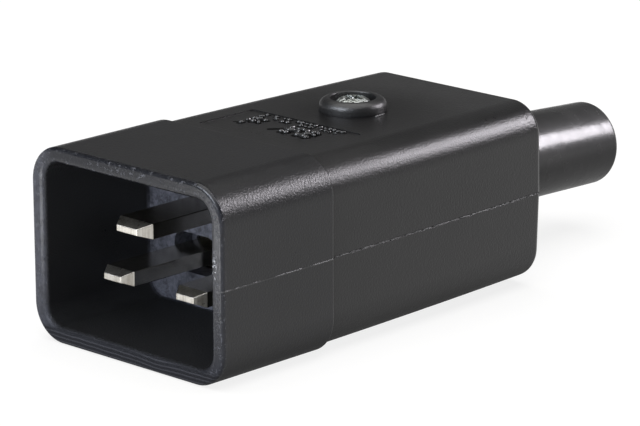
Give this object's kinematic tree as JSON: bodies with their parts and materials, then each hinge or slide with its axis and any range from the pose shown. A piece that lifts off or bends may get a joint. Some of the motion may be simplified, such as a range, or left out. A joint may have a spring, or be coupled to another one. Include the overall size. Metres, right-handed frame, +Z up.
{
  "type": "rewireable power plug",
  "caption": "Rewireable male mains plug: rounded rectangular shroud round flat blade pins, split rear housing closed by a screw, and a bend sleeve for the cord.",
  "frame": {"origin": "centre of the overall box in plan, at the lowest face of the shroud", "axes": "+Y along the plug from the open end to the cord entry, +Z up through the screw boss, +X to the right seen from the open end"},
  "size_m": [0.034, 0.09, 0.0269],
  "materials": {
    "shroud_black": "fine eroded texture, satin",
    "body_black": "fine eroded texture, matte",
    "pin_nickel": "nickel plated",
    "inner_plastic": "smooth",
    "screw_zinc": "zinc plated",
    "sleeve_rubber": "smooth, semi-gloss"
  },
  "bodies": {
    "root": {"front_shroud": "shroud_black", "upper_housing": "body_black", "lower_housing": "body_black", "line_pin": "pin_nickel", "neutral_pin": "pin_nickel", "earth_pin": "pin_nickel", "pin_retainer": "inner_plastic", "retainer_screw_left": "screw_zinc", "retainer_screw_right": "screw_zinc", "line_terminal_screw": "screw_zinc", "neutral_terminal_screw": "screw_zinc", "earth_terminal_screw": "screw_zinc", "housing_screw": "screw_zinc", "housing_nut": "screw_zinc", "cable_clamp_bar": "inner_plastic", "clamp_screw_left": "screw_zinc", "clamp_screw_right": "screw_zinc", "bend_sleeve": "sleeve_rubber"}
  },
  "joints": []
}
